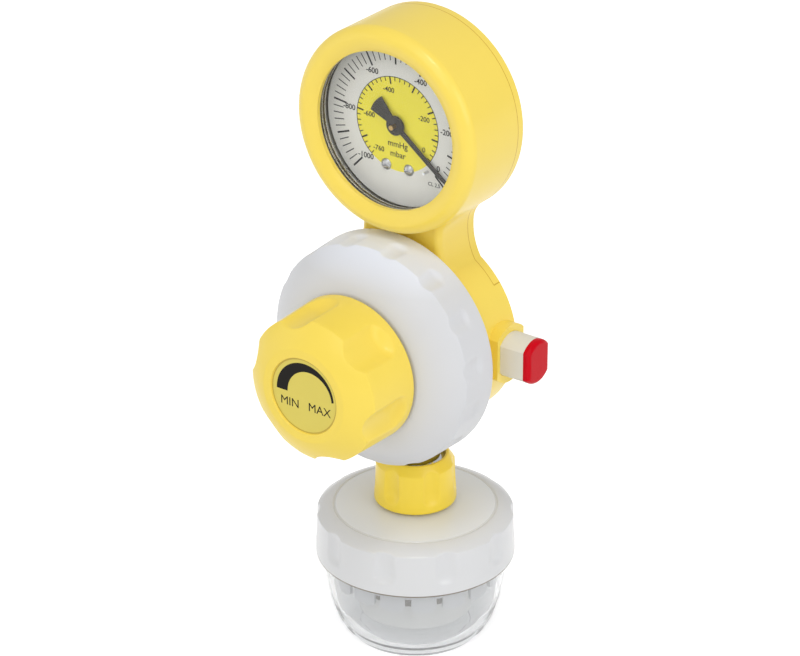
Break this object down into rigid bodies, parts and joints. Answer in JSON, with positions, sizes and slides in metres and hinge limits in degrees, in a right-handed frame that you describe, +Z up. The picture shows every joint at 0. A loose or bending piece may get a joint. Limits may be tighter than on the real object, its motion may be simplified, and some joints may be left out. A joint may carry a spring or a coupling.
{
  "type": "vacuum regulator",
  "caption": "Yellow wall vacuum regulator with round gauge, fluted knob on a white bonnet, on/off push bar and a clear safety jar under a white lid.",
  "frame": {"origin": "centre of the flat back of the round body, where the inlet spigot leaves it", "axes": "+Z up towards the gauge, -Y the front with knob and dial, +X the side of the red button"},
  "size_m": [0.0946, 0.1036, 0.2434],
  "materials": {
    "yellow_plastic": "glossy moulded, softly rounded edges",
    "white_plastic": "glossy moulded",
    "cream_plastic": "semi-gloss moulded",
    "red_plastic": "glossy",
    "green_plastic": "glossy",
    "chrome_metal": "polished plate",
    "brass_metal": "turned",
    "steel_metal": "plain",
    "black_rubber": "matt",
    "clear_jar": "clear moulded",
    "clear_window": "clear flat",
    "dial_face": "printed with two scales",
    "label_face": "printed",
    "black_paint": "matt black"
  },
  "bodies": {
    "regulator": {"body_housing": "yellow_plastic", "rear_cover": "yellow_plastic", "cover_screws": "steel_metal", "bonnet": "white_plastic", "spindle_bush": "brass_metal", "inlet_spigot": "chrome_metal", "inlet_seal": "black_rubber", "valve_seat": "brass_metal", "outlet_fitting": "chrome_metal", "lid_seal": "black_rubber", "lid_connector": "chrome_metal", "jar_lid": "white_plastic", "jar_seal": "black_rubber", "float_cage": "white_plastic", "gauge_case": "steel_metal", "window_gasket": "black_rubber", "gauge_ring": "chrome_metal", "gauge_window": "clear_window", "dial": "dial_face", "dial_screws": "steel_metal", "stop_pin": "steel_metal", "gauge_socket": "brass_metal", "bourdon_tube": "brass_metal", "movement_frame": "brass_metal", "diaphragm": "black_rubber", "regulation_spring": "steel_metal", "return_spring": "steel_metal"},
    "knob_group": {"knob": "yellow_plastic", "knob_label": "label_face", "knob_screw": "steel_metal", "adjusting_spindle": "steel_metal"},
    "spring_plate_group": {"spring_plate": "brass_metal"},
    "diaphragm_group": {"diaphragm_plate": "steel_metal", "backing_plate": "steel_metal", "valve_poppet": "brass_metal"},
    "pointer_group": {"pointer": "black_paint", "pointer_arbor": "brass_metal"},
    "sector_group": {"sector_gear": "brass_metal"},
    "link_group": {"link_rod": "brass_metal"},
    "bar_group": {"on_off_bar": "cream_plastic", "red_cap": "red_plastic", "green_cap": "green_plastic", "spool_seals": "black_rubber"},
    "nut_group": {"union_nut": "yellow_plastic"},
    "jar_group": {"jar": "clear_jar"},
    "float_group": {"float": "cream_plastic"}
  },
  "joints": [
    {"name": "knob_turn", "type": "hinge", "parent": "regulator", "child": "knob_group", "pos_m": [0, -0.06, 0], "axis": [0, 1, 0], "range_deg": [0, 1080]},
    {"name": "spring_plate_slide", "type": "slide", "parent": "regulator", "child": "spring_plate_group", "axis": [0, 1, 0], "range_m": [0, 0.006], "deforming": ["regulation_spring"]},
    {"name": "diaphragm_slide", "type": "slide", "parent": "regulator", "child": "diaphragm_group", "axis": [0, 1, 0], "range_m": [0, 0.0012], "stiffness_N_per_m": 1500, "springref_m": -0.001, "deforming": ["return_spring", "diaphragm", "regulation_spring"]},
    {"name": "pointer_turn", "type": "hinge", "parent": "regulator", "child": "pointer_group", "pos_m": [0, -0.015, 0.08285], "axis": [0, -1, 0], "range_deg": [0, 263], "deforming": ["bourdon_tube"]},
    {"name": "sector_turn", "type": "hinge", "parent": "regulator", "child": "sector_group", "pos_m": [0.01379, -0.015, 0.08528], "axis": [0, 1, 0], "range_deg": [0, 43.84]},
    {"name": "link_swing", "type": "hinge", "parent": "sector_group", "child": "link_group", "pos_m": [0.01788, -0.0136, 0.08241], "axis": [0, -1, 0], "range_deg": [0, 43.84]},
    {"name": "bar_slide", "type": "slide", "parent": "regulator", "child": "bar_group", "axis": [-1, 0, 0], "range_m": [0, 0.008]},
    {"name": "nut_turn", "type": "hinge", "parent": "regulator", "child": "nut_group", "pos_m": [0, -0.012, -0.06], "axis": [0, 0, 1], "range_deg": [0, 720]},
    {"name": "jar_turn", "type": "hinge", "parent": "regulator", "child": "jar_group", "pos_m": [0, -0.012, -0.1], "axis": [0, 0, 1], "range_deg": [0, 360]},
    {"name": "float_rise", "type": "slide", "parent": "regulator", "child": "float_group", "axis": [0, 0, 1], "range_m": [0, 0.0113]}
  ],
  "couplings": [
    {"joint": "spring_plate_slide", "follows": "knob_turn", "m_per_rad": 0.0003183},
    {"joint": "sector_turn", "follows": "pointer_turn", "ratio": 0.16667},
    {"joint": "link_swing", "follows": "pointer_turn", "ratio": 0.16667}
  ]
}
